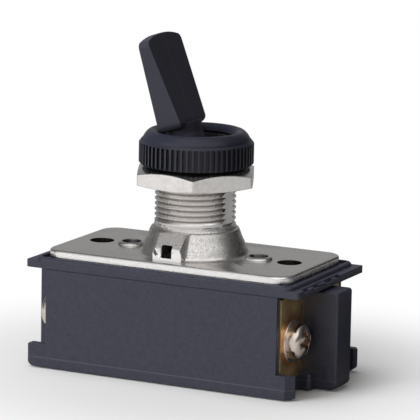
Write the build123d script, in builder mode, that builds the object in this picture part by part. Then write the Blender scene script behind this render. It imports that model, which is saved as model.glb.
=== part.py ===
from build123d import *
import math
import os

os.makedirs("parts", exist_ok=True)

# ---------------------------------------------------------------- sizes, mm
# Moulded base
case_width = 22.1
case_height = 14.8
wall = 1.1
wall_end = 18.7  # where the tall side walls stop, left and right of centre
band_end = 21.82  # where the low band of each side wall stops
band_height = 3.45
band_corner = 0.5
mitre_start = 20.2  # one end of each band is cut back at a slant
mitre_end = 21.35
band_low_round = 1.2
band_high_round = 0.6
floor_top = 2.0
sill_end = 19.0
barrier_end = 24.35
barrier_half = 2.45
barrier_drop = 0.4  # below the rim of the case
barrier_ease = 0.3
barrier_low_round = 1.1
barrier_high_round = 0.45
root_end = 20.8
root_half = 3.85
root_top = 2.3
cavity_half = 16.6
skirt_top = 1.4  # fine moulded line along the foot of the side walls
skirt_proud = 0.07
seam_deep = 0.12  # shadow line under the lid
rib_width = 6.4
rib_thick = 1.5
rib_drop = 1.4

# Cover, fibre sheet and plate
flange_end = 22.1
flange_corner = 0.15
flange_front_corner = 0.6
flange_thick = 1.05
rim_end = 20.8
rim_side_wall = 0.65
rim_end_wall = 0.7
rim_corner = 1.5
rim_rise = 0.55
rim_round = 0.45
deck_rise = 0.05
sheet_thick = 0.2
sheet_inset = 0.2
plate_length = 39.2
plate_inset = 0.85  # in from the sides of the case
plate_thick = 1.4
plate_corner = 2.7
plate_roll = 0.4
opening_half_x = 7.0
opening_half_y = 2.4

# Bushing, 15/32 inch thread
thread_major = 11.906
thread_clear = 0.05
thread_rise = 4.6
thread_length = 12.3
bore_radius = 4.6
keyway_half = 2.3
keyway_flat = 5.45
cone_base = 7.85
cavity_radius = 6.2
cavity_rise = 4.0

# Front boss of the casting
boss_half = 2.3
boss_face = 8.98
boss_edge_rise = 1.8
boss_back = 7.4
boss_rise = 3.85
window_left = -0.95
window_right = 0.75
window_sill = 0.5
window_tall = 1.87

# Holes in line
rivet_reach = 10.4
rivet_radius = 1.35
rivet_bore = 1.0
rivet_head = 2.05
rivet_rise = 0.42
mount_reach = 15.35
mount_radius = 1.8
mount_depth = 9.0

# Nuts
nut_gap = 5.55  # bare thread below the hexagon nut
hex_across = 16.7
hex_thick = 2.95
hex_turn = -5.9
ring_radius = 8.4
ring_flutes = 62
ring_thick = 3.6
throat_radius = 5.45
ring_over = 0.2  # gap left above the bushing
crease = 0.12  # fine groove round the foot of the dome
flute_wide = 0.58
flute_deep = 0.42
flute_stop = 0.35  # plain band above the flutes
dome_radius = 7.88
dome_rise = 1.4
dome_mouth = 5.85

# Lever
pivot_rise = 11.58
tilt = 18.36
neck_radius = 2.6
ball_radius = 4.2
paddle_low = 6.95
paddle_high = 21.15
half_thick_low = 1.97
half_thick_high = 0.75
half_width_low = 4.05
half_width_high = 5.28
arm_radius = 1.75
arm_length = 9.0
pin_radius = 0.8
pin_length = 10.8
running_clear = 0.05

# Plunger and spring
plunger_radius = 1.1
plunger_top = 6.6
plunger_tip = 14.6
spring_top = 2.3
spring_radius = 0.82
wire_radius = 0.14

# Rocker
rocker_height = 7.6
rocker_tilt = 8.0
trunnion_radius = 1.2
tip_gap = 0.43
cradle_half = 4.6
cradle_rise = 2.2
blade_reach = 13.3
blade_tail = 3.0
blade_half = 2.0
blade_low = 1.5  # underside of the blades, below the pivot of the rocker
blade_thick = 0.6
contact_reach = 12.0
contact_radius = 1.1
contact_thick = 0.3
fixed_radius = 1.3
fixed_thick = 0.7

# Terminals and screws
tab_outer = 18.85
tab_thick = 1.0
tab_drop = 0.6
foot_half = 2.3
screw_height = 7.65
screw_radius = 1.7
screw_room = 2.2
head_radius = 2.65
head_height = 2.05
washer_radius = 3.18
washer_thick = 0.4

# --------------------------------------------- heights, built up from the case
flange_top = case_height + flange_thick
rim_top = flange_top + rim_rise
deck_top = flange_top + deck_rise
plate_low = deck_top + sheet_thick
plate_top = plate_low + plate_thick
thread_low = plate_top + thread_rise
bushing_top = thread_low + thread_length
cavity_top = plate_top + cavity_rise
boss_edge = plate_top + boss_edge_rise
boss_top = plate_top + boss_rise
window_low = plate_top + window_sill
window_high = window_low + window_tall
hex_low = thread_low + nut_gap
hex_high = hex_low + hex_thick
ring_high = hex_high + ring_thick
dome_top = ring_high + dome_rise
pivot_height = plate_top + pivot_rise
barrier_top = case_height - barrier_drop
tab_top = case_height - tab_drop
cradle_mid = pivot_height - plunger_tip - rocker_height - tip_gap
cradle_side = cradle_mid + cradle_rise

# ------------------------------------------- depths, taken in from the side walls
skirt_end = band_end - band_low_round
inner_side = case_width / 2 - wall
plate_width = case_width - 2 * plate_inset
pole = (barrier_half + inner_side) / 2  # centre line of each pole, front and back
tab_near = barrier_half
tab_far = inner_side - 0.02
rib_centre = inner_side + 0.05 - rib_thick / 2
trunnion_end = inner_side - 0.25
trunnion_start = rib_centre - rib_thick / 2 - 0.3

# ------------------------------------------------------------ shared planes
lean = math.radians(tilt)
lever_across = (math.cos(lean), 0, math.sin(lean))
lever_up = (-math.sin(lean), 0, math.cos(lean))
pivot = (0, 0, pivot_height)
swing_plane = Plane(origin=pivot, x_dir=lever_across, z_dir=(0, -1, 0))
broad_plane = Plane(origin=pivot, x_dir=(0, 1, 0), z_dir=lever_across)
lever_axis = Axis(pivot, lever_up)

dip = math.radians(rocker_tilt)
rocker_along = (math.cos(dip), 0, -math.sin(dip))
rocker_up = (math.sin(dip), 0, math.cos(dip))
rocker_origin = (0, 0, rocker_height)
rocker_plane = Plane(origin=rocker_origin, x_dir=rocker_along, z_dir=(0, -1, 0))
rocker_flat = Plane(origin=rocker_origin, x_dir=rocker_along, z_dir=rocker_up)

side_plane = Plane.XZ

# ----------------------------------------------------------------- case_base
# Open-topped moulding: tall side walls, low bands round the terminal pockets,
# a barrier between the poles at each end, and posts for the rivets inside.
with BuildPart() as case_base:
    # low bands, as bars along both sides
    with BuildSketch(side_plane):
        with Locations((0, band_height / 2)):
            Rectangle(2 * band_end, band_height)
        fillet(vertices().group_by(Axis.Y)[0], band_low_round)
        fillet(vertices().group_by(Axis.Y)[-1], band_high_round)
    extrude(amount=case_width / 2, both=True)
    with BuildSketch():
        for way in (1, -1):
            with BuildLine():
                Polyline(
                    (-way * band_end, -way * case_width / 2),
                    (way * mitre_start, -way * case_width / 2),
                    (way * mitre_end, way * (wall - case_width / 2)),
                    (-way * band_end, way * (wall - case_width / 2)),
                    close=True,
                )
            make_face()
        fillet(vertices().group_by(Axis.X)[0], band_corner)
        fillet(vertices().group_by(Axis.X)[-1], band_corner)
    extrude(amount=band_height, mode=Mode.INTERSECT)
    # tall box
    with BuildSketch():
        Rectangle(2 * wall_end, case_width)
    extrude(amount=case_height)
    # barriers between the poles, eased all round
    with BuildPart():
        with BuildSketch(side_plane):
            with Locations((0, barrier_top / 2)):
                Rectangle(2 * barrier_end, barrier_top)
            fillet(vertices().group_by(Axis.Y)[0], barrier_low_round)
            fillet(vertices().group_by(Axis.Y)[-1], barrier_high_round)
        extrude(amount=barrier_half, both=True)
        fillet(faces().filter_by(Axis.Y).edges(), barrier_ease)
    # inside of the box and the pockets at its ends
    with BuildSketch(Plane.XY.offset(floor_top)):
        Rectangle(2 * cavity_half, case_width - 2 * wall)
    extrude(amount=case_height, mode=Mode.SUBTRACT)
    with BuildSketch(Plane.XY.offset(floor_top)):
        with Locations(
            (tab_outer - tab_thick + 2, (tab_near + tab_far) / 2),
            (tab_outer - tab_thick + 2, -(tab_near + tab_far) / 2),
            (-tab_outer + tab_thick - 2, (tab_near + tab_far) / 2),
            (-tab_outer + tab_thick - 2, -(tab_near + tab_far) / 2),
        ):
            Rectangle(4, tab_far - tab_near)
    extrude(amount=case_height, mode=Mode.SUBTRACT)
    # sill under the terminals
    with BuildSketch():
        Rectangle(2 * sill_end, case_width - 2 * wall)
    extrude(amount=floor_top)
    # low root block each side of the barriers
    with BuildSketch():
        Rectangle(2 * root_end, 2 * root_half)
        fillet(vertices(), 0.55)
        Rectangle(2 * tab_outer, 2 * root_half + 1, mode=Mode.SUBTRACT)
    extrude(amount=root_top)
    # posts for rivets and mounting screws, and the wall between the poles
    with BuildSketch(Plane.XY.offset(floor_top)):
        with Locations((rivet_reach, 0), (-rivet_reach, 0)):
            Circle(2.4)
        with Locations((mount_reach - 0.5, 0), (-mount_reach + 0.5, 0)):
            Rectangle(5.0, 2 * barrier_half)
    extrude(amount=case_height - floor_top)
    # ribs that carry the rocker
    with BuildSketch(Plane.XY.offset(floor_top)):
        with Locations((0, rib_centre), (0, -rib_centre)):
            Rectangle(rib_width, rib_thick)
    extrude(amount=case_height - rib_drop - floor_top)
    with BuildSketch(side_plane):
        with Locations((0, rocker_height)):
            Circle(trunnion_radius + running_clear)
        with Locations((0, rocker_height + case_height / 2)):
            Rectangle(2 * (trunnion_radius + running_clear), case_height)
    extrude(amount=inner_side - 0.1, both=True, mode=Mode.SUBTRACT)
    # slots for the feet of the terminals, and room for the screw ends
    with BuildSketch(Plane.XY.offset(floor_top)):
        with Locations((0, pole), (0, -pole)):
            Rectangle(2 * (tab_outer - tab_thick), 2 * foot_half)
    extrude(amount=tab_thick, mode=Mode.SUBTRACT)
    with BuildSketch(Plane.YZ):
        with Locations((pole, screw_height), (-pole, screw_height)):
            Circle(screw_room)
    extrude(amount=tab_outer - 0.5, both=True, mode=Mode.SUBTRACT)
    # holes down the middle line
    with Locations((rivet_reach, 0, 0), (-rivet_reach, 0, 0)):
        Cylinder(rivet_radius, 2 * case_height, mode=Mode.SUBTRACT)
        Cylinder(2.4, 2 * 0.8, mode=Mode.SUBTRACT)
    with BuildSketch(Plane.XY.offset(case_height)):
        with Locations((mount_reach, 0), (-mount_reach, 0)):
            Circle(mount_radius)
    extrude(amount=-mount_depth, mode=Mode.SUBTRACT)
    # shadow line under the lid
    with BuildSketch(Plane.XY.offset(case_height)):
        Rectangle(2 * wall_end + 1, case_width + 1)
        Rectangle(2 * wall_end + 1, case_width - 2 * seam_deep, mode=Mode.SUBTRACT)
    extrude(amount=-seam_deep, mode=Mode.SUBTRACT)
    # proud line along the foot of each long side
    with BuildSketch():
        for way in (1, -1):
            with Locations((way * (mitre_start - skirt_end) / 2, -way * case_width / 2)):
                Rectangle(mitre_start + skirt_end, 2 * skirt_proud)
    extrude(amount=skirt_top)
case_base.part.label = "case_base"
export_step(case_base.part, "parts/case_base.step")

# ---------------------------------------------------------------- case_cover
# Flanged lid with a shallow tray for the metal plate, and a gate scar on one end.
with BuildPart() as case_cover:
    # raised tray, as wide as the case
    with BuildSketch(Plane.XY.offset(case_height)):
        RectangleRounded(2 * rim_end, case_width, rim_corner)
    extrude(amount=flange_thick + rim_rise)
    fillet(faces().sort_by(Axis.Z)[-1].outer_wire().edges(), rim_round)
    with BuildSketch(Plane.XY.offset(deck_top)):
        RectangleRounded(
            2 * (rim_end - rim_end_wall),
            case_width - 2 * rim_side_wall,
            rim_corner - rim_end_wall,
        )
    extrude(amount=rim_rise, mode=Mode.SUBTRACT)
    # flange, which overhangs the terminals
    with BuildSketch(Plane.XY.offset(case_height)):
        Rectangle(2 * flange_end, case_width)
        fillet(vertices().group_by(Axis.Y)[-1], flange_corner)
        fillet(vertices().group_by(Axis.Y)[0], flange_front_corner)
    extrude(amount=flange_thick)
    with BuildSketch(Plane.XY.offset(case_height)):
        RectangleRounded(2 * opening_half_x, 2 * opening_half_y, 1.0)
        with Locations((mount_reach, 0), (-mount_reach, 0)):
            Circle(mount_radius)
        with Locations((rivet_reach, 0), (-rivet_reach, 0)):
            Circle(rivet_radius)
    extrude(amount=flange_thick + rim_rise, mode=Mode.SUBTRACT)
    # strips that locate the lid between the side walls
    with BuildSketch(Plane.XY.offset(case_height)):
        with Locations((0, inner_side - 0.5), (0, 0.5 - inner_side)):
            Rectangle(1.8 * cavity_half, 0.9)
    extrude(amount=0.2 - rib_drop)
    # gate scar along one end of the flange
    with BuildSketch(Plane.XY.offset(flange_top + 0.05)):
        with Locations((flange_end, -3.0)):
            Rectangle(1.3, 12.6)
    extrude(amount=-0.5, mode=Mode.SUBTRACT)
    with BuildSketch(Plane.XY.offset(flange_top - 0.47)):
        with Locations((flange_end - 0.4, -6.6)):
            Rectangle(0.7, 1.7, rotation=8)
        with Locations((flange_end - 0.42, -2.9)):
            Rectangle(0.6, 2.3, rotation=-6)
        with Locations((flange_end - 0.4, 1.4)):
            Rectangle(0.65, 1.2, rotation=10)
    extrude(amount=0.33)
case_cover.part.label = "case_cover"
export_step(case_cover.part, "parts/case_cover.step")

# --------------------------------------------------------------- fibre_sheet
with BuildPart() as fibre_sheet:
    with BuildSketch(Plane.XY.offset(deck_top)):
        RectangleRounded(
            plate_length - 2 * sheet_inset,
            plate_width - 2 * sheet_inset,
            plate_corner,
        )
        RectangleRounded(2 * opening_half_x, 2 * opening_half_y, 1.0, mode=Mode.SUBTRACT)
        with Locations((mount_reach, 0), (-mount_reach, 0)):
            Circle(mount_radius, mode=Mode.SUBTRACT)
        with Locations((rivet_reach, 0), (-rivet_reach, 0)):
            Circle(rivet_radius, mode=Mode.SUBTRACT)
    extrude(amount=sheet_thick)
fibre_sheet.part.label = "fibre_sheet"
export_step(fibre_sheet.part, "parts/fibre_sheet.step")

# ------------------------------------------------------------ mounting_frame
# One casting: plate, flared root, threaded bushing with keyway, front boss.
with BuildPart() as mounting_frame:
    with BuildSketch(Plane.XY.offset(plate_low)):
        RectangleRounded(plate_length, plate_width, plate_corner)
    extrude(amount=plate_top - plate_low)
    fillet(edges().group_by(Axis.Z)[-1], plate_roll)
    with BuildSketch(side_plane):
        with BuildLine():
            Polyline((0, plate_low), (cone_base + 0.45, plate_low), (cone_base + 0.45, plate_top))
            Spline(
                (cone_base + 0.45, plate_top),
                (cone_base - 0.1, plate_top + 0.55),
                (cone_base - 0.4, plate_top + 1.35),
                (cone_base - 0.95, plate_top + 2.55),
                (cone_base - 1.5, plate_top + 3.75),
                (thread_major / 2 - 0.03, thread_low),
                tangents=((-1, 0.25), (-0.12, 1)),
            )
            Polyline(
                (thread_major / 2 - 0.03, thread_low),
                (thread_major / 2, thread_low + 0.02),
                (thread_major / 2, bushing_top - 0.35),
                (thread_major / 2 - 0.35, bushing_top),
                (0, bushing_top),
                (0, plate_low),
            )
        make_face()
    revolve(axis=Axis.Z)
    # boss that runs out to the front edge
    with BuildSketch(Plane.YZ):
        with BuildLine():
            Polyline(
                (-boss_face, plate_low),
                (-boss_face, boss_edge),
                (-boss_back, boss_top),
                (-5.2, boss_top),
                (-5.2, plate_low),
                close=True,
            )
        make_face()
    extrude(amount=boss_half, both=True)
    # its sloping edges are eased
    slopes = edges().filter_by_position(Axis.Y, -boss_face + 0.1, -boss_back - 0.1)
    slopes = slopes.filter_by_position(Axis.Z, boss_edge + 0.3, boss_top - 0.3)
    chamfer(slopes, 0.35)
    with BuildSketch(Plane.XZ.offset(boss_face)):
        with Locations((window_left - 0.45, window_low + 0.1)):
            Circle(0.36)
    extrude(amount=0.06)
    # inside: lever bore above, flared room for the swing below
    with BuildSketch(side_plane):
        with BuildLine():
            Polyline(
                (0, plate_low),
                (cavity_radius, plate_low),
                (cavity_radius, plate_low + 0.8),
                (bore_radius, cavity_top),
                (bore_radius, bushing_top),
                (0, bushing_top),
                close=True,
            )
        make_face()
    revolve(axis=Axis.Z, mode=Mode.SUBTRACT)
    # keyway flat the length of the thread
    with BuildSketch(Plane.XY.offset(thread_low)):
        with Locations((keyway_flat + 2, 0)):
            Rectangle(4, 2 * keyway_half)
    extrude(amount=bushing_top - thread_low, mode=Mode.SUBTRACT)
    # window through the boss
    with BuildSketch(Plane.XZ):
        with Locations(((window_left + window_right) / 2, (window_low + window_high) / 2)):
            RectangleRounded(window_right - window_left, window_high - window_low, 0.2)
    extrude(amount=12, mode=Mode.SUBTRACT)
    # holes for the rivets, the mounting screws and the pivot pin
    with BuildSketch(Plane.XY.offset(plate_low)):
        with Locations((mount_reach, 0), (-mount_reach, 0)):
            Circle(mount_radius)
        with Locations((rivet_reach, 0), (-rivet_reach, 0)):
            Circle(rivet_radius)
    extrude(amount=plate_top - plate_low, mode=Mode.SUBTRACT)
    with BuildSketch(Plane.XZ):
        with Locations((0, pivot_height)):
            Circle(pin_radius)
    extrude(amount=8, both=True, mode=Mode.SUBTRACT)
mounting_frame.part.label = "mounting_frame"
export_step(mounting_frame.part, "parts/mounting_frame.step")

# ------------------------------------------------------------------- rivets
# Hollow rivets from the plate down through the base, rolled over at both ends.
rivet_low = 0.25
for rivet_name, rivet_x in (("rivet_left", -rivet_reach), ("rivet_right", rivet_reach)):
    rivet_plane = Plane(origin=(rivet_x, 0, 0), x_dir=(1, 0, 0), z_dir=(0, -1, 0))
    with BuildPart() as rivet:
        with BuildSketch(rivet_plane):
            with BuildLine():
                Line((rivet_bore, rivet_low + 0.5), (rivet_bore, plate_top - 0.4))
                Line((rivet_bore, plate_top - 0.4), (1.42, plate_top + rivet_rise))
                ThreePointArc(
                    (1.42, plate_top + rivet_rise),
                    (1.85, plate_top + rivet_rise - 0.05),
                    (rivet_head, plate_top),
                )
                Line((rivet_head, plate_top), (rivet_radius, plate_top))
                Line((rivet_radius, plate_top), (rivet_radius, 0.8))
                Line((rivet_radius, 0.8), (rivet_head, 0.8))
                ThreePointArc(
                    (rivet_head, 0.8),
                    (1.9, rivet_low + 0.15),
                    (1.5, rivet_low),
                )
                Line((1.5, rivet_low), (rivet_bore, rivet_low + 0.5))
            make_face()
        revolve(axis=Axis((rivet_x, 0, 0), (0, 0, 1)))
    rivet.part.label = rivet_name
    export_step(rivet.part, f"parts/{rivet_name}.step")

# ------------------------------------------------------------------ hex_nut
with BuildPart() as hex_nut:
    with BuildSketch(Plane.XY.offset(hex_low)):
        RegularPolygon(hex_across / 2, 6, major_radius=False, rotation=hex_turn)
        fillet(vertices(), 0.5)
        Circle(thread_major / 2 + thread_clear, mode=Mode.SUBTRACT)
    extrude(amount=hex_high - hex_low)
    # both faces turned down to a cone, which leaves arcs on the flats
    with BuildSketch(side_plane):
        with BuildLine():
            Polyline(
                (0, hex_low),
                (hex_across / 2 - 0.1, hex_low),
                (hex_across / 2 + 1.6, hex_low + 0.42),
                (hex_across / 2 + 1.6, hex_high - 1.21),
                (hex_across / 2 - 1.33, hex_high),
                (0, hex_high),
                close=True,
            )
        make_face()
    revolve(axis=Axis.Z, mode=Mode.INTERSECT)
hex_nut.part.label = "hex_nut"
export_step(hex_nut.part, "parts/hex_nut.step")

# ----------------------------------------------------------------- ring_nut
# Fluted dress nut with a domed collar that closes over the bushing's end.
with BuildPart() as ring_nut:
    with BuildSketch(side_plane):
        with BuildLine():
            Polyline(
                (thread_major / 2 + thread_clear, hex_high),
                (ring_radius - 0.3, hex_high),
                (ring_radius, hex_high + 0.3),
                (ring_radius, ring_high - 0.45),
                (ring_radius - 0.35, ring_high),
                (dome_radius + 0.07, ring_high),
                (dome_radius, ring_high - crease),
            )
            Spline(
                (dome_radius, ring_high - crease),
                (dome_radius - 0.22, ring_high + 0.55),
                (dome_radius - 0.58, ring_high + 1.02),
                (6.6, dome_top),
                (dome_mouth, dome_top - 0.35),
                (throat_radius, bushing_top + ring_over),
                tangents=((0, 1), (-0.5, -1)),
            )
            Polyline(
                (throat_radius, bushing_top + ring_over),
                (thread_major / 2 + thread_clear, bushing_top + ring_over),
                (thread_major / 2 + thread_clear, hex_high),
            )
        make_face()
    revolve(axis=Axis.Z)
    with BuildSketch(Plane.XY.offset(hex_high)):
        with PolarLocations(ring_radius, ring_flutes):
            Rectangle(2 * flute_deep, flute_wide)
    extrude(amount=ring_thick - flute_stop, mode=Mode.SUBTRACT)
ring_nut.part.label = "ring_nut"
export_step(ring_nut.part, "parts/ring_nut.step")

# -------------------------------------------------------------------- lever
# Wedge-shaped paddle on a round neck, a ball at the pivot and a hollow arm below.
with BuildPart() as lever:
    # side view of the paddle
    with BuildSketch(swing_plane):
        with BuildLine():
            Polyline(
                (-half_thick_low, paddle_low),
                (half_thick_low, paddle_low),
                (half_thick_high, paddle_high),
                (-half_thick_high, paddle_high),
                close=True,
            )
        make_face()
        fillet(vertices().group_by(Axis.Y)[0], 0.9)
        fillet(vertices().group_by(Axis.Y)[-1], 0.25)
    extrude(amount=7, both=True)
    # front view of the paddle, with its arched top
    with BuildSketch(broad_plane):
        with BuildLine():
            Line((-half_width_low, paddle_low), (half_width_low, paddle_low))
            Line((half_width_low, paddle_low), (half_width_high - 0.08, paddle_high - 0.9))
            ThreePointArc(
                (half_width_high - 0.08, paddle_high - 0.9),
                (0, paddle_high),
                (-half_width_high + 0.08, paddle_high - 0.9),
            )
            Line((-half_width_high + 0.08, paddle_high - 0.9), (-half_width_low, paddle_low))
        make_face()
        fillet(vertices().group_by(Axis.Y)[0], 1.1)
        fillet(vertices().sort_by(Axis.X)[0], 0.9)
        fillet(vertices().sort_by(Axis.X)[-1], 0.9)
    extrude(amount=6, both=True, mode=Mode.INTERSECT)
    # neck, ball and arm turned about the lever's own line
    with BuildSketch(swing_plane):
        with BuildLine():
            Polyline(
                (0, paddle_low + 0.6),
                (neck_radius + 0.3, paddle_low + 0.6),
                (neck_radius, 6.0),
                (neck_radius, math.sqrt(ball_radius**2 - neck_radius**2)),
            )
            ThreePointArc(
                (neck_radius, math.sqrt(ball_radius**2 - neck_radius**2)),
                (ball_radius * math.cos(math.radians(20)), ball_radius * math.sin(math.radians(20))),
                (arm_radius, -math.sqrt(ball_radius**2 - arm_radius**2)),
            )
            Polyline(
                (arm_radius, -math.sqrt(ball_radius**2 - arm_radius**2)),
                (arm_radius, -arm_length + 0.4),
                (arm_radius - 0.4, -arm_length),
                (0, -arm_length),
                (0, paddle_low + 0.6),
            )
        make_face()
    revolve(axis=lever_axis)
    # bore for the plunger and its spring
    with BuildSketch(swing_plane):
        with Locations(((plunger_radius + running_clear) / 2, -(arm_length + spring_top) / 2)):
            Rectangle(plunger_radius + running_clear, arm_length - spring_top)
    revolve(axis=lever_axis, mode=Mode.SUBTRACT)
    # cross hole for the pivot pin
    with BuildSketch(swing_plane):
        Circle(pin_radius + running_clear)
    extrude(amount=7, both=True, mode=Mode.SUBTRACT)
lever.part.label = "lever"
export_step(lever.part, "parts/lever.step")

# ---------------------------------------------------------------- pivot_pin
with BuildPart() as pivot_pin:
    with BuildSketch(Plane.XZ):
        with Locations((0, pivot_height)):
            Circle(pin_radius)
    extrude(amount=pin_length / 2, both=True)
    chamfer(edges().filter_by(GeomType.CIRCLE), 0.15)
pivot_pin.part.label = "pivot_pin"
export_step(pivot_pin.part, "parts/pivot_pin.step")

# ------------------------------------------------------------------ plunger
with BuildPart() as plunger:
    with BuildSketch(swing_plane):
        with BuildLine():
            Polyline(
                (0, -plunger_top),
                (plunger_radius - 0.15, -plunger_top),
                (plunger_radius, -plunger_top - 0.15),
                (plunger_radius, -plunger_tip + plunger_radius),
            )
            ThreePointArc(
                (plunger_radius, -plunger_tip + plunger_radius),
                (
                    plunger_radius * math.sin(math.radians(45)),
                    -plunger_tip + plunger_radius * (1 - math.cos(math.radians(45))),
                ),
                (0, -plunger_tip),
            )
            Line((0, -plunger_tip), (0, -plunger_top))
        make_face()
    revolve(axis=lever_axis)
plunger.part.label = "plunger"
export_step(plunger.part, "parts/plunger.step")

# ----------------------------------------------------------- plunger_spring
spring_length = plunger_top - spring_top - 2 * wire_radius
spring_foot = plunger_top - wire_radius
spring_start = (
    -lever_up[0] * spring_foot,
    0,
    pivot_height - lever_up[2] * spring_foot,
)
with BuildPart() as plunger_spring:
    with BuildLine() as coil:
        Helix(
            pitch=spring_length / 6,
            height=spring_length,
            radius=spring_radius,
            center=spring_start,
            direction=lever_up,
        )
    with BuildSketch(Plane(origin=coil.line @ 0, z_dir=coil.line % 0)):
        RegularPolygon(wire_radius, 8)
    sweep(path=coil.line, is_frenet=True)
plunger_spring.part.label = "plunger_spring"
export_step(plunger_spring.part, "parts/plunger_spring.step")

# ------------------------------------------------------------------- rocker
# See-saw that the plunger runs along; its cradle rises through the lid.
with BuildPart() as rocker:
    with BuildSketch(rocker_plane):
        with Locations((0, 0.2)):
            Rectangle(5.2, 2.2)
    extrude(amount=trunnion_start, both=True)
    for trunnion_side in (trunnion_start, -trunnion_end):
        with BuildSketch(rocker_plane.offset(trunnion_side)):
            Circle(trunnion_radius)
        extrude(amount=trunnion_end - trunnion_start)
    with BuildSketch(rocker_plane):
        with BuildLine():
            ThreePointArc((-cradle_half, cradle_side), (0, cradle_mid), (cradle_half, cradle_side))
            Polyline(
                (cradle_half, cradle_side),
                (cradle_half, cradle_side - 1.2),
                (1.9, 3.8),
                (1.9, 1.0),
                (-1.9, 1.0),
                (-1.9, 3.8),
                (-cradle_half, cradle_side - 1.2),
                (-cradle_half, cradle_side),
            )
        make_face()
    extrude(amount=1.6, both=True)
rocker.part.label = "rocker"
export_step(rocker.part, "parts/rocker.step")

# ----------------------------------------------------------- contact blades
for blade_name, blade_start in (
    ("blade_front", pole - blade_half),
    ("blade_back", -pole - blade_half),
):
    with BuildPart() as blade:
        with BuildSketch(rocker_plane.offset(blade_start)):
            with BuildLine():
                Polyline(
                    (-blade_tail, blade_thick - blade_low),
                    (-blade_tail, -blade_low),
                    (blade_reach, -blade_low),
                    (blade_reach, blade_thick - blade_low),
                    close=True,
                )
            make_face()
        extrude(amount=2 * blade_half)
    blade.part.label = blade_name
    export_step(blade.part, f"parts/{blade_name}.step")

# ----------------------------------------------------------------- contacts
with BuildPart() as moving_contacts:
    with BuildSketch(rocker_flat.offset(-blade_low)):
        with Locations((contact_reach, pole), (contact_reach, -pole)):
            Circle(contact_radius)
    extrude(amount=-contact_thick)
moving_contacts.part.label = "moving_contacts"
export_step(moving_contacts.part, "parts/moving_contacts.step")

fixed_reach = contact_reach * math.cos(dip) - (blade_low + contact_thick) * math.sin(dip)
with BuildPart() as fixed_contacts:
    with BuildSketch(Plane.XY.offset(floor_top + tab_thick)):
        with Locations((fixed_reach, pole), (fixed_reach, -pole)):
            Circle(fixed_radius)
    extrude(amount=fixed_thick)
fixed_contacts.part.label = "fixed_contacts"
export_step(fixed_contacts.part, "parts/fixed_contacts.step")

# ---------------------------------------------------------------- terminals
# Each is a bent brass strip: an upright tab in its pocket and a foot that runs
# in along the floor, to a fixed contact on the right and a fulcrum on the left.
tab_inner = tab_outer - tab_thick
for end_name, end in (("right", 1), ("left", -1)):
    for row_name, row in (("front", -1), ("back", 1)):
        foot_end = fixed_reach - fixed_radius - 0.4 if end == 1 else -1.2
        with BuildPart() as terminal:
            with BuildSketch(Plane.XY.offset(floor_top)):
                with Locations((end * (tab_inner + tab_thick / 2), row * (tab_near + tab_far) / 2)):
                    Rectangle(tab_thick, tab_far - tab_near)
            extrude(amount=tab_top - floor_top)
            with BuildSketch(Plane.XY.offset(floor_top)):
                with Locations((end * (tab_inner + foot_end) / 2, row * pole)):
                    Rectangle(tab_inner - foot_end, 2 * foot_half)
            extrude(amount=tab_thick)
            if end == -1:
                with BuildSketch(Plane.XY.offset(floor_top)):
                    with Locations((0.4, row * pole)):
                        Rectangle(1.2, 2 * foot_half)
                extrude(amount=rocker_height - blade_low - 0.3 - floor_top)
            with BuildSketch(Plane.YZ.offset(end * tab_outer)):
                with Locations((row * pole, screw_height)):
                    Circle(screw_radius + running_clear)
            extrude(amount=-end * tab_thick, mode=Mode.SUBTRACT)
        terminal.part.label = f"terminal_{end_name}_{row_name}"
        export_step(terminal.part, f"parts/terminal_{end_name}_{row_name}.step")

        screw_plane = Plane(
            origin=(end * tab_outer, row * pole, screw_height),
            x_dir=(end, 0, 0),
            z_dir=(0, -1, 0),
        )
        screw_axis = Axis((0, row * pole, screw_height), (1, 0, 0))
        with BuildPart() as washer:
            with BuildSketch(screw_plane):
                with BuildLine():
                    Polyline(
                        (0, screw_radius + 0.15),
                        (0, washer_radius),
                        (washer_thick - 0.1, washer_radius),
                        (washer_thick, washer_radius - 0.1),
                        (washer_thick, screw_radius + 0.15),
                        close=True,
                    )
                make_face()
            revolve(axis=screw_axis)
        washer.part.label = f"washer_{end_name}_{row_name}"
        export_step(washer.part, f"parts/washer_{end_name}_{row_name}.step")

        head_top = washer_thick + head_height
        with BuildPart() as screw:
            with BuildSketch(screw_plane):
                with BuildLine():
                    Polyline(
                        (head_top, 0),
                        (-3.6, 0),
                        (-3.6, screw_radius - 0.35),
                        (-3.2, screw_radius),
                        (washer_thick, screw_radius),
                        (washer_thick, head_radius),
                        (washer_thick + 0.75, head_radius),
                    )
                    Spline(
                        (washer_thick + 0.75, head_radius),
                        (head_top - 0.45, head_radius - 0.45),
                        (head_top - 0.12, head_radius - 1.3),
                        (head_top, 0),
                        tangents=((1, 0), (0, -1)),
                    )
                make_face()
            revolve(axis=screw_axis)
            # cross recess
            with BuildSketch(Plane.YZ.offset(end * (tab_outer + head_top - 1.45))):
                with Locations((row * pole, screw_height)):
                    Rectangle(3.5, 0.85, rotation=12)
                    Rectangle(0.85, 3.5, rotation=12)
                    Rectangle(1.7, 1.7, rotation=57)
            extrude(amount=end * 2, mode=Mode.SUBTRACT)
        screw.part.label = f"screw_{end_name}_{row_name}"
        export_step(screw.part, f"parts/screw_{end_name}_{row_name}.step")
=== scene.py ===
import math

import bpy
from mathutils import Matrix, Vector


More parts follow.
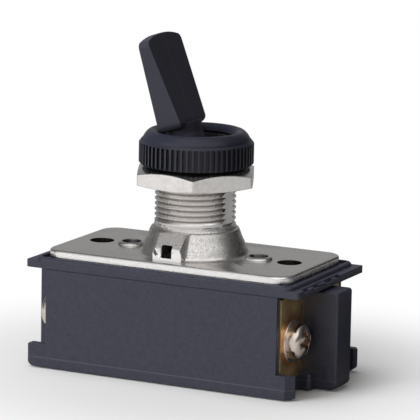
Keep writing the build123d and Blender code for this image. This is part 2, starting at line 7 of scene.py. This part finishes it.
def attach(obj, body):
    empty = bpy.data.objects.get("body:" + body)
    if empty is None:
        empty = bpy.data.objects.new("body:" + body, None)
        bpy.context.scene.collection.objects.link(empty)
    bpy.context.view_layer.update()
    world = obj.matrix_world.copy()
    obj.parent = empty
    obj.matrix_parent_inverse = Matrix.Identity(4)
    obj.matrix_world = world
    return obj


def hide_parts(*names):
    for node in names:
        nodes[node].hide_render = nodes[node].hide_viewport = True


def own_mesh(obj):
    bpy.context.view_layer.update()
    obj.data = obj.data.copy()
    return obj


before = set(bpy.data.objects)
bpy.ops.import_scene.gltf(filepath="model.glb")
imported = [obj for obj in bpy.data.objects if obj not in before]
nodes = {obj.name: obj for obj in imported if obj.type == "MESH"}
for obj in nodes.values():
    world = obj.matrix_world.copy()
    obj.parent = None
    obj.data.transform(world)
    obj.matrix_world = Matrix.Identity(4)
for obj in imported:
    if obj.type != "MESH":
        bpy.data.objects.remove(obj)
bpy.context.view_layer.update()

bpy.ops.object.select_all(action="DESELECT")


# ---- Case -------------------------------------------------------------------
# The open box of the switch, compression moulded in dark slate phenolic. Its skin is dull and faintly
# clouded, and a painted highlight makes its corners a little paler.

def place(tree, kind, **values):
    """Adds a node to a tree and sets its properties."""
    node = tree.nodes.new(kind)
    for key, value in values.items():
        setattr(node, key, value)
    return node


def feed(tree, value, socket):
    """Links a socket to value, or sets it when value is a plain number."""
    if isinstance(value, bpy.types.NodeSocket):
        tree.links.new(value, socket)
    else:
        socket.default_value = value


def sums(tree, operation, first, second):
    """The sum, difference or product of two sockets or numbers."""
    node = place(tree, "ShaderNodeMath", operation=operation)
    feed(tree, first, node.inputs[0])
    feed(tree, second, node.inputs[1])
    return node.outputs[0]


def map_range(tree, source, low, high, to_low, to_high, smooth=False):
    """Runs from to_low to to_high as source goes from low to high."""
    node = place(tree, "ShaderNodeMapRange")
    if smooth:
        node.interpolation_type = "SMOOTHSTEP"
    node.inputs["From Min"].default_value = low
    node.inputs["From Max"].default_value = high
    node.inputs["To Min"].default_value = to_low
    node.inputs["To Max"].default_value = to_high
    tree.links.new(source, node.inputs["Value"])
    return node.outputs["Result"]


def from_axis(tree, centre, across, low, high, to_low, to_high, smooth=False):
    """As map_range, with the distance from centre, counted along the axes marked 1 in across."""
    coords = place(tree, "ShaderNodeTexCoord")
    moved = place(tree, "ShaderNodeVectorMath", operation="SUBTRACT")
    tree.links.new(coords.outputs["Object"], moved.inputs[0])
    moved.inputs[1].default_value = centre
    kept = place(tree, "ShaderNodeVectorMath", operation="MULTIPLY")
    tree.links.new(moved.outputs[0], kept.inputs[0])
    kept.inputs[1].default_value = across
    reach = place(tree, "ShaderNodeVectorMath", operation="LENGTH")
    tree.links.new(kept.outputs[0], reach.inputs[0])
    return map_range(tree, reach.outputs["Value"], low, high, to_low, to_high, smooth)


def noise(tree, scale, detail, rough=0.5):
    """Soft noise that stays with the object."""
    coords = place(tree, "ShaderNodeTexCoord")
    node = place(tree, "ShaderNodeTexNoise")
    feed(tree, scale, node.inputs["Scale"])
    node.inputs["Detail"].default_value = detail
    node.inputs["Roughness"].default_value = rough
    tree.links.new(coords.outputs["Object"], node.inputs["Vector"])
    return node.outputs["Fac"]


def sockets(group, into, out):
    """Gives a group its number sockets, and returns its two end nodes."""
    for name in into:
        group.interface.new_socket(name, in_out="INPUT", socket_type="NodeSocketFloat")
    for name in out:
        group.interface.new_socket(name, in_out="OUTPUT", socket_type="NodeSocketFloat")
    return group.nodes.new("NodeGroupInput"), group.nodes.new("NodeGroupOutput")


def make_grain_group():
    """Fine grain over soft clouds: a tint round 1, a cloud mask and a height."""
    group = bpy.data.node_groups.new("fine_grain", "ShaderNodeTree")
    into, out = sockets(group, ("Grain Scale", "Cloud Scale", "Shade"), ("Tint", "Cloud", "Height"))
    link = group.links.new
    fine = noise(group, into.outputs["Grain Scale"], detail=3.0)
    cloud = noise(group, into.outputs["Cloud Scale"], detail=4.0)
    signed = map_range(group, sums(group, "ADD", fine, cloud), 0.7, 1.3, -1.0, 1.0)
    shaded = sums(group, "MULTIPLY", signed, into.outputs["Shade"])
    link(sums(group, "ADD", shaded, 1.0), out.inputs["Tint"])
    link(map_range(group, cloud, 0.35, 0.65, 0.0, 1.0), out.inputs["Cloud"])
    link(fine, out.inputs["Height"])
    return group


def make_edge_group():
    """Marks the corners of a piece for a painted highlight, broken up so that it is uneven."""
    group = bpy.data.node_groups.new("edge_highlight", "ShaderNodeTree")
    into, out = sockets(group, ("Width", "Amount"), ("Mask",))
    link = group.links.new
    soft = place(group, "ShaderNodeBevel", samples=6)
    link(into.outputs["Width"], soft.inputs["Radius"])
    flat = place(group, "ShaderNodeNewGeometry")
    meet = place(group, "ShaderNodeVectorMath", operation="DOT_PRODUCT")
    link(soft.outputs["Normal"], meet.inputs[0])
    link(flat.outputs["Normal"], meet.inputs[1])
    edge = map_range(group, meet.outputs["Value"], 0.99, 0.8, 0.0, 1.0)
    broken = map_range(group, noise(group, 700.0, detail=3.0), 0.3, 0.6, 0.35, 1.0)
    lit_edge = sums(group, "MULTIPLY", edge, broken)
    link(sums(group, "MULTIPLY", lit_edge, into.outputs["Amount"]), out.inputs["Mask"])
    return group


grain_group = make_grain_group()
edge_group = make_edge_group()


def tint_over(mat, mask, color):
    """Lays color over the base colour of mat where mask is 1."""
    tree = mat.node_tree
    base = tree.nodes["Principled BSDF"].inputs["Base Color"]
    under = base.links[0].from_socket
    over = place(tree, "ShaderNodeMix", data_type="RGBA")
    tree.links.new(mask, over.inputs["Factor"])
    tree.links.new(under, over.inputs["A"])
    over.inputs["B"].default_value = (*color, 1)
    tree.links.new(over.outputs["Result"], base)


def finish(name, color, rough, grain=2000, clouds=150, shade=0.08, bump=0.00002, soften=0.0001,
           highlight_color=None, highlight_amount=0.0, metallic=0.0, specular=0.5):
    """A finish with grain, clouds and a painted highlight on its corners. bump and soften are in metres.
    """
    mat = bpy.data.materials.new(name)
    mat.use_nodes = True
    tree = mat.node_tree
    bsdf = tree.nodes["Principled BSDF"]
    link = tree.links.new
    skin = place(tree, "ShaderNodeGroup")
    skin.node_tree = grain_group
    skin.inputs["Grain Scale"].default_value = grain
    skin.inputs["Cloud Scale"].default_value = clouds
    skin.inputs["Shade"].default_value = shade
    tint = place(tree, "ShaderNodeVectorMath", operation="SCALE")
    tint.inputs[0].default_value = color
    link(skin.outputs["Tint"], tint.inputs["Scale"])
    link(tint.outputs[0], bsdf.inputs["Base Color"])
    if highlight_color:
        lit_edge = place(tree, "ShaderNodeGroup")
        lit_edge.node_tree = edge_group
        lit_edge.inputs["Width"].default_value = 2 * soften
        lit_edge.inputs["Amount"].default_value = highlight_amount
        tint_over(mat, lit_edge.outputs["Mask"], highlight_color)
    link(map_range(tree, skin.outputs["Cloud"], 0.0, 1.0, *rough), bsdf.inputs["Roughness"])
    edge = place(tree, "ShaderNodeBevel", samples=6)
    edge.inputs["Radius"].default_value = soften
    relief = place(tree, "ShaderNodeBump")
    relief.inputs["Distance"].default_value = bump
    link(skin.outputs["Height"], relief.inputs["Height"])
    link(edge.outputs["Normal"], relief.inputs["Normal"])
    link(relief.outputs["Normal"], bsdf.inputs["Normal"])
    bsdf.inputs["Metallic"].default_value = metallic
    bsdf.inputs["Specular IOR Level"].default_value = specular
    return mat


def coat(obj, mat):
    """Gives an object one material."""
    obj.data.materials.clear()
    obj.data.materials.append(mat)


def dress(mat, *names):
    """Gives the named pieces one material."""
    for name in names:
        coat(nodes[name], mat)


# the case's corners carry a painted highlight
slate = finish("slate_moulding", color=(0.029, 0.031, 0.051), rough=(0.40, 0.52), grain=3400,
               clouds=900, shade=0.34, bump=0.00003, soften=0.00014, highlight_color=(0.05, 0.052, 0.07),
               highlight_amount=0.4, specular=0.65)
# a fine painted highlight runs round the case at the top of its foot
foot_top = (0, 0, 0.0014)
line_half = 0.00003
line_end = 0.00013
foot_highlight = from_axis(slate.node_tree, foot_top, (0, 0, 1), line_half, line_end, 0.40, 0.0)
tint_over(slate, foot_highlight, (0.12, 0.122, 0.14))
dress(slate, "case_base")

# ---- Lid --------------------------------------------------------------------
# The flanged lid that closes the case, moulded in the same phenolic from another
# batch, so a shade paler. The rough row on its end is where the gate broke off.
# the lid's corners carry a painted highlight
lid_slate = finish("lid_moulding", color=(0.030, 0.032, 0.053), rough=(0.38, 0.50), grain=3400,
                   clouds=900, shade=0.34, bump=0.00003, soften=0.00014,
                   highlight_color=(0.055, 0.057, 0.075), highlight_amount=0.4, specular=0.65)
dress(lid_slate, "case_cover")

# ---- Fibre sheet ------------------------------------------------------------
# Black pressed fibre, punched to sit in the lid's tray under the metal plate.
# Only its edge is seen, so it is nearly matt.
fibre = finish("pressed_fibre", color=(0.022, 0.021, 0.020), rough=(0.7, 0.85), grain=1600,
               shade=0.2, soften=0.00003)
dress(fibre, "fibre_sheet")

# ---- Plate and bushing ------------------------------------------------------
# One die casting, barrelled and nickel plated: the riveted plate, its flared
# root and boss, and the bushing, whose 15/32-32 thread is cut here.

def position(tree):
    """The X, Y and Z sockets of a point's place on the object."""
    coords = place(tree, "ShaderNodeTexCoord")
    split = place(tree, "ShaderNodeSeparateXYZ")
    tree.links.new(coords.outputs["Object"], split.inputs[0])
    return split.outputs


nickel_color = (0.78, 0.755, 0.735)
nickel = finish("nickel_casting", nickel_color, rough=(0.20, 0.33), grain=2200, clouds=300,
                shade=0.07, bump=0.000006, soften=0.00004, metallic=1.0)
tree = nickel.node_tree
bsdf = tree.nodes["Principled BSDF"]
link = tree.links.new
point = position(tree)

# the root is left as cast, with a pebbled skin, except on the boss's open front
root_low = 0.0178
root_high = 0.0221
root_fade = 0.0003
boss_front = -0.00893
boss_fade = 0.00002
pebble_height = 0.00004
above = map_range(tree, point["Z"], root_low, root_low + root_fade, 0.0, 1.0)
below = map_range(tree, point["Z"], root_high, root_high - root_fade, 0.0, 1.0)
inside = map_range(tree, point["Y"], boss_front - boss_fade, boss_front + boss_fade, 0.0, 1.0)
cast_zone = sums(tree, "MULTIPLY", sums(tree, "MULTIPLY", inside, above), below)
pebble = noise(tree, 8000.0, detail=3.0, rough=0.6)
cast_relief = place(tree, "ShaderNodeBump")
cast_relief.inputs["Distance"].default_value = pebble_height
link(sums(tree, "MULTIPLY", pebble, cast_zone), cast_relief.inputs["Height"])
link(bsdf.inputs["Normal"].links[0].from_socket, cast_relief.inputs["Normal"])
link(cast_relief.outputs["Normal"], bsdf.inputs["Normal"])
pitted = place(tree, "ShaderNodeMix", data_type="FLOAT")
link(cast_zone, pitted.inputs["Factor"])
pitted.inputs["A"].default_value = 1.0
link(map_range(tree, pebble, 0.38, 0.50, 0.46, 1.02), pitted.inputs["B"])

# the thread is a touch brighter than the plate, and painted shade in dark brown lies at the bottom of its
# groove
thread_fade = 0.0002
groove_shade_top = 0.00577
groove_shade_bottom = 0.00556
thread_zone = map_range(tree, point["Z"], root_high - thread_fade, root_high + thread_fade, 0.0, 1.0)
bright = map_range(tree, thread_zone, 0.0, 1.0, 1.0, 1.02)
shaded = place(tree, "ShaderNodeVectorMath", operation="SCALE")
link(bsdf.inputs["Base Color"].links[0].from_socket, shaded.inputs[0])
link(sums(tree, "MULTIPLY", bright, pitted.outputs["Result"]), shaded.inputs["Scale"])
link(shaded.outputs[0], bsdf.inputs["Base Color"])
facing = place(tree, "ShaderNodeNewGeometry")
lean = place(tree, "ShaderNodeSeparateXYZ")
link(facing.outputs["Normal"], lean.inputs[0])
slant = place(tree, "ShaderNodeMath", operation="ABSOLUTE")
link(lean.outputs["Z"], slant.inputs[0])
flank = sums(tree, "MULTIPLY", map_range(tree, slant.outputs[0], 0.1, 0.3, 0.0, 1.0), thread_zone)
upright = (1, 1, 0)
# painted shade along the bottom of the thread's groove
groove_shade = from_axis(tree, (0, 0, 0), upright, groove_shade_top, groove_shade_bottom, 0.0, 0.55)
tint_over(nickel, sums(tree, "MULTIPLY", groove_shade, flank), (0.16, 0.125, 0.10))

# a painted highlight brightens the upright front faces out in the open
lit_front = map_range(tree, lean.outputs["Y"], -0.4, -0.8, 0.0, 1.0)
outside = map_range(tree, point["Y"], boss_front + 0.0001, boss_front, 0.0, 1.0)
tint_over(nickel, sums(tree, "MULTIPLY", lit_front, outside), (0.95, 0.935, 0.92))

# little light reaches the walls of the two mounting holes
mount_reach = 0.01535
wall_radius = 0.00181
wall_fade = 0.00003
for end in (-1, 1):
    centre = (end * mount_reach, 0, 0)
    hole_wall = from_axis(tree, centre, upright, wall_radius, wall_radius + wall_fade, 0.8, 0.0)
    tint_over(nickel, hole_wall, (0.05, 0.048, 0.045))


def merged_copy(node, name):
    """A copy of a piece with its doubled vertices joined, ready to be reshaped."""
    made = nodes[node].copy()
    made.data = made.data.copy()
    made.name = name
    made.parent = None
    for key in list(made.keys()):
        del made[key]
    bpy.context.collection.objects.link(made)
    bpy.context.view_layer.objects.active = made
    made.select_set(True)
    bpy.ops.object.mode_set(mode="EDIT")
    bpy.ops.mesh.select_all(action="SELECT")
    bpy.ops.mesh.remove_doubles(threshold=0.000001)
    bpy.ops.object.mode_set(mode="OBJECT")
    bpy.ops.object.select_all(action="DESELECT")
    return made


casting = merged_copy("mounting_frame", "casting")

# the groove's section, wound up the bushing, makes the cutter for the thread
thread_radius = 0.005953
thread_pitch = 0.000794
thread_depth = 0.00042
thread_start = 0.0222
thread_turns = 15
steps_a_turn = 72
groove_half = 0.45 * thread_pitch
cutter_reach = 0.0004
section = (
    (thread_radius - thread_depth, 0, thread_start),
    (thread_radius, 0, thread_start - groove_half),
    (thread_radius + cutter_reach, 0, thread_start - groove_half),
    (thread_radius + cutter_reach, 0, thread_start + groove_half),
    (thread_radius, 0, thread_start + groove_half),
)
bpy.ops.mesh.primitive_circle_add(vertices=len(section), radius=0.0001)
cutter = bpy.context.object
cutter.name = "thread_cutter"
for vert, corner in zip(cutter.data.vertices, section):
    vert.co = corner
wind = cutter.modifiers.new("wind", "SCREW")
wind.axis = "Z"
wind.angle = 2 * math.pi
wind.screw_offset = thread_pitch
wind.iterations = thread_turns
wind.steps = steps_a_turn
wind.render_steps = steps_a_turn
wind.use_merge_vertices = False
bpy.ops.object.modifier_apply(modifier="wind")
bpy.ops.object.mode_set(mode="EDIT")
bpy.ops.mesh.select_all(action="SELECT")
bpy.ops.mesh.fill_holes(sides=len(section))
bpy.ops.mesh.select_all(action="SELECT")
bpy.ops.mesh.normals_make_consistent(inside=False)
bpy.ops.object.mode_set(mode="OBJECT")

bpy.context.view_layer.objects.active = casting
cut = casting.modifiers.new("thread", "BOOLEAN")
cut.operation = "DIFFERENCE"
cut.solver = "EXACT"
cut.object = cutter
bpy.ops.object.modifier_apply(modifier="thread")
bpy.data.objects.remove(cutter)
bpy.ops.object.select_all(action="DESELECT")
casting.select_set(True)
bpy.context.view_layer.objects.active = casting
bpy.ops.object.shade_smooth_by_angle(angle=math.radians(14))
bpy.ops.object.select_all(action="DESELECT")
coat(casting, nickel)
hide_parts("mounting_frame")
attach(casting, "case")

# ---- Rivets -----------------------------------------------------------------
# Two hollow zinc-plated rivets, rolled over on the plate and under the case,
# which hold the lid, the fibre and the plate down on the box.
zinc = finish("rivet_zinc", color=(0.72, 0.71, 0.70), rough=(0.20, 0.32), grain=1800, clouds=400,
              shade=0.08, bump=0.00002, soften=0.0001, metallic=1.0)
rivet_reach = 0.0104
hollow_radius = 0.00135
hollow_fade = 0.0002
for end, name in ((-1, "rivet_left"), (1, "rivet_right")):
    rolled = zinc.copy()
    rolled.name = name + "_zinc"
    centre = (end * rivet_reach, 0, 0)
    # painted shade darkens the rivet's hollow
    hollow_shade = from_axis(rolled.node_tree, centre, upright, hollow_radius, hollow_radius + hollow_fade,
                       0.95, 0.0)
    tint_over(rolled, hollow_shade, (0.03, 0.028, 0.026))
    dress(rolled, name)

# ---- Hexagon nut ------------------------------------------------------------
# Turned from hexagon bar and nickel plated, with a wide cone on top. It runs down the thread to suit the
# panel. Painted shade draws its six upright corners as dark lines.
nut_nickel = finish("nut_nickel", nickel_color, rough=(0.17, 0.30), grain=1500, clouds=500,
                    shade=0.10, bump=0.00002, soften=0.0002, metallic=1.0)
corner_low = 0.009542
corner_high = 0.009612
# painted shade along the six upright corners
corner_shade = from_axis(nut_nickel.node_tree, (0, 0, 0), upright, corner_low, corner_high, 0.0, 0.75)
tint_over(nut_nickel, corner_shade, (0.25, 0.23, 0.21))
dress(nut_nickel, "hex_nut")

# ---- Fluted dress nut -------------------------------------------------------
# Moulded in black phenolic, with sixty-two flutes and a domed lip over the bushing's end. Painted shade
# darkens the flutes under the dome, and a painted highlight lies on the tips of the ribs and on its
# corners.
nut_black = finish("nut_moulding", color=(0.023, 0.025, 0.041), rough=(0.33, 0.44), grain=2400,
                   shade=0.10, bump=0.00002, soften=0.00009, highlight_color=(0.05, 0.052, 0.066), highlight_amount=0.6,
                   specular=0.45)
flute_bottom = 0.00798
flute_top = 0.00836
dome_foot = 0.03370
tree = nut_black.node_tree
# painted shade in the flutes
flute_shade = from_axis(tree, (0, 0, 0), upright, flute_bottom, flute_top, 0.85, 0.0)
under_dome = map_range(tree, position(tree)["Z"], dome_foot + 0.00005, dome_foot, 0.0, 1.0)
tint_over(nut_black, sums(tree, "MULTIPLY", flute_shade, under_dome), (0.003, 0.003, 0.005))
# a painted highlight on the tips of the ribs
rib_highlight = from_axis(tree, (0, 0, 0), upright, flute_top - 0.00003, flute_top + 0.00003, 0.0, 0.6)
tint_over(nut_black, rib_highlight, (0.036, 0.038, 0.052))
dress(nut_black, "ring_nut")

# ---- Lever ------------------------------------------------------------------
# A flat tapered paddle moulded in black phenolic over the swinging arm. A painted highlight pales its
# corners, and the mould's parting line runs round it, made pale by a painted highlight.
lever_black = finish("lever_moulding", color=(0.048, 0.049, 0.066), rough=(0.42, 0.54), grain=2600,
                     shade=0.10, bump=0.000025, soften=0.00016, highlight_color=(0.09, 0.092, 0.11), highlight_amount=0.6,
                     specular=0.30)
parting_half = 0.00005
parting_end = 0.00016
# a painted highlight along the parting line
parting_highlight = from_axis(lever_black.node_tree, (0, 0, 0), (0, 1, 0), parting_half, parting_end, 0.45, 0.0)
tint_over(lever_black, parting_highlight, (0.11, 0.112, 0.13))
dress(lever_black, "lever")

# ---- Pin, spring and plunger ------------------------------------------------
# A drawn steel pin carries the lever. A steel spring inside its arm presses the
# brass plunger down on the rocker.
steel = finish("drawn_steel", color=(0.56, 0.56, 0.57), rough=(0.2, 0.3), soften=0.00005, metallic=1.0)
dress(steel, "pivot_pin")

# the spring is a copy with its doubled vertices joined and a mesh of its own, carried by the lever
spring = merged_copy("plunger_spring", "spring")
coat(spring, steel)
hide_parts("plunger_spring")
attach(spring, "lever")
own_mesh(spring)

brass = finish("stamped_brass", color=(0.70, 0.50, 0.25), rough=(0.28, 0.44), grain=1200, clouds=260,
               shade=0.16, bump=0.00002, soften=0.00004, metallic=1.0)
dress(brass, "plunger")

# ---- Rocker, blades and contacts --------------------------------------------
# The see-saw is moulded in tan phenolic and holds two brass blades. Silver
# contacts are riveted to the blades and to the terminals.
# the rocker's corners carry a painted highlight
tan = finish("rocker_moulding", color=(0.30, 0.19, 0.10), rough=(0.45, 0.6), shade=0.12,
             highlight_color=(0.4, 0.27, 0.16), highlight_amount=0.4)
dress(tan, "rocker")
dress(brass, "blade_front", "blade_back")
silver = finish("contact_silver", color=(0.80, 0.79, 0.76), rough=(0.16, 0.26), soften=0.00005,
                metallic=1.0)
dress(silver, "moving_contacts", "fixed_contacts")

# ---- Terminals --------------------------------------------------------------
# Bent brass strip, brown with age: an upright tab in each pocket, drilled and
# tapped for its screw. The brass has reddened round each screw.
screw_reach = 0.0062
screw_height = 0.00765
halo_radius = 0.0034
halo_fade = 0.0009
for row, turn in (("front", -1), ("back", 1)):
    heated = brass.copy()
    heated.name = "heated_brass_" + row
    centre = (0, turn * screw_reach, screw_height)
    halo = from_axis(heated.node_tree, centre, (0, 1, 1), halo_radius, halo_radius + halo_fade, 0.62, 0.0)
    tint_over(heated, halo, (0.62, 0.22, 0.05))
    dress(heated, f"terminal_right_{row}", f"terminal_left_{row}")

# ---- Terminal screws and washers --------------------------------------------
# Round-headed cross-recess screws with dished washers, in nickel plated brass.
# The plating is thin, so the brass under it warms its colour.
screw_nickel = finish("screw_nickel", color=(0.72, 0.62, 0.55), rough=(0.13, 0.24), grain=1500,
                      clouds=500, shade=0.05, bump=0.00001, soften=0.00008, metallic=1.0)
for end in ("right", "left"):
    for row in ("front", "back"):
        dress(screw_nickel, f"washer_{end}_{row}", f"screw_{end}_{row}")

# ---- Floor, light and camera ------------------------------------------------
# A pale sheet in a studio that is bright low in front and overhead, and dim
# behind. The floor fades to white away from the switch and keeps its shadow.
bpy.ops.mesh.primitive_plane_add(size=6, location=(0, 0, -0.0002))
floor = bpy.context.object
floor.name = "floor"
paper = bpy.data.materials.new("pale_floor")
paper.use_nodes = True
tree = paper.node_tree
link = tree.links.new
bsdf = tree.nodes["Principled BSDF"]
bsdf.inputs["Roughness"].default_value = 0.9
bsdf.inputs["Specular IOR Level"].default_value = 0.0
path = place(tree, "ShaderNodeLightPath")

# in reflections the floor carries painted shade, darker towards the back, and a painted shadow behind the
# right end
backward = map_range(tree, position(tree)["Y"], 0.06, -0.03, 0.52, 0.95, smooth=True)
reflected_shadow = from_axis(tree, (0.042, 0.040, 0), upright, 0.022, 0.060, 0.05, 1.0)
mirror = place(tree, "ShaderNodeMix", data_type="RGBA")
link(path.outputs["Is Glossy Ray"], mirror.inputs["Factor"])
mirror.inputs["A"].default_value = (0.9, 0.9, 0.9, 1)
link(sums(tree, "MULTIPLY", backward, reflected_shadow), mirror.inputs["B"])
bounce = place(tree, "ShaderNodeMix", data_type="RGBA")
link(path.outputs["Is Diffuse Ray"], bounce.inputs["Factor"])
link(mirror.outputs["Result"], bounce.inputs["A"])
bounce.inputs["B"].default_value = (0.11, 0.11, 0.11, 1)
link(bounce.outputs["Result"], bsdf.inputs["Base Color"])

fade_start = 0.018
fade_end = 0.058
far = from_axis(tree, (0, 0, 0), (1, 1, 1), fade_start, fade_end, 0.0, 1.0, smooth=True)
glowing = place(tree, "ShaderNodeEmission")
fade = place(tree, "ShaderNodeMixShader")
link(sums(tree, "MULTIPLY", far, path.outputs["Is Camera Ray"]), fade.inputs["Fac"])
link(bsdf.outputs["BSDF"], fade.inputs[1])
link(glowing.outputs["Emission"], fade.inputs[2])
link(fade.outputs["Shader"], tree.nodes["Material Output"].inputs["Surface"])
floor.data.materials.append(paper)
bpy.ops.object.select_all(action="DESELECT")

world = bpy.data.worlds.new("studio")
bpy.context.scene.world = world
world.use_nodes = True
tree = world.node_tree
tree.nodes.clear()
link = tree.links.new
coords = place(tree, "ShaderNodeTexCoord")
path = place(tree, "ShaderNodeLightPath")


def lobe(toward, low, high, strength):
    """A soft patch of light in the studio, as bright as strength at its middle."""
    aim = place(tree, "ShaderNodeVectorMath", operation="DOT_PRODUCT")
    link(coords.outputs["Generated"], aim.inputs[0])
    aim.inputs[1].default_value = Vector(toward).normalized()
    return map_range(tree, aim.outputs["Value"], low, high, 0.0, strength, smooth=True)


# dim all round, with four brighter parts
glow = 0.17
for toward, low, high, strength in (
    ((-0.05, -0.99, 0.12), 0.25, 0.95, 0.80),  # low in front
    ((0.35, -0.40, 0.85), 0.62, 0.98, 0.75),  # overhead
    ((-0.434, 0.881, 0.191), 0.75, 1.0, 0.24),  # behind
    ((0.78, -0.20, 0.58), 0.93, 0.985, 0.90),  # a small lamp high on the right
):
    glow = sums(tree, "ADD", lobe(toward, low, high, strength), glow)

# a black card stands low at the back on the right, and a screen keeps the right
# side from throwing light on dull surfaces
glow = sums(tree, "SUBTRACT", glow, lobe((0.50, 0.86, 0.0), 0.76, 0.97, 0.15))
heading = place(tree, "ShaderNodeSeparateXYZ")
link(coords.outputs["Generated"], heading.inputs[0])
screen = map_range(tree, heading.outputs["X"], -0.30, 0.30, 0.0, 1.0, smooth=True)
screened = sums(tree, "MULTIPLY", screen, path.outputs["Is Diffuse Ray"])
studio = place(tree, "ShaderNodeBackground")
link(sums(tree, "MULTIPLY", glow, sums(tree, "SUBTRACT", 1.0, screened)), studio.inputs["Strength"])
white = place(tree, "ShaderNodeBackground")
white.inputs["Color"].default_value = (1, 1, 1, 1)
white.inputs["Strength"].default_value = 1.0
pick = place(tree, "ShaderNodeMixShader")
out = place(tree, "ShaderNodeOutputWorld")
link(path.outputs["Is Camera Ray"], pick.inputs["Fac"])
link(studio.outputs[0], pick.inputs[1])
link(white.outputs[0], pick.inputs[2])
link(pick.outputs[0], out.inputs["Surface"])


def soft_lamp(name, at, size, power, aim_at=(0, 0, 0.02)):
    """A square lamp that casts soft shadows and isn't seen in reflections."""
    data = bpy.data.lights.new(name, "AREA")
    data.shape = "RECTANGLE"
    data.size = size
    data.size_y = size
    data.energy = power
    lamp = bpy.data.objects.new(name, data)
    bpy.context.collection.objects.link(lamp)
    lamp.location = at
    lamp.rotation_euler = (Vector(aim_at) - Vector(at)).to_track_quat("-Z", "Y").to_euler()
    lamp.visible_glossy = False


soft_lamp("front_lamp", at=(-0.42, -0.55, 0.25), size=0.4, power=3.2)
soft_lamp("top_lamp", at=(-0.15, -0.05, 0.8), size=0.5, power=3.0)

azimuth = math.radians(26.221)
elevation = math.radians(11.025)
roll = math.radians(1.114)
distance = 0.48853
target = Vector((0.00239, 0, 0.0239))
back = Vector((
    math.sin(azimuth) * math.cos(elevation),
    -math.cos(azimuth) * math.cos(elevation),
    math.sin(elevation),
))
across = (-back).cross(Vector((0, 0, 1))).normalized()
upward = across.cross(-back)
turned_across = across * math.cos(roll) + upward * math.sin(roll)
turned_up = upward * math.cos(roll) - across * math.sin(roll)
camera_data = bpy.data.cameras.new("camera")
camera_data.lens = 287.16
camera_data.sensor_width = 36
camera_data.clip_end = 20
camera = bpy.data.objects.new("camera", camera_data)
bpy.context.collection.objects.link(camera)
camera.matrix_world = Matrix((turned_across, turned_up, back)).transposed().to_4x4()
camera.location = target + back * distance
bpy.context.scene.camera = camera
bpy.context.scene.view_settings.view_transform = "Standard"
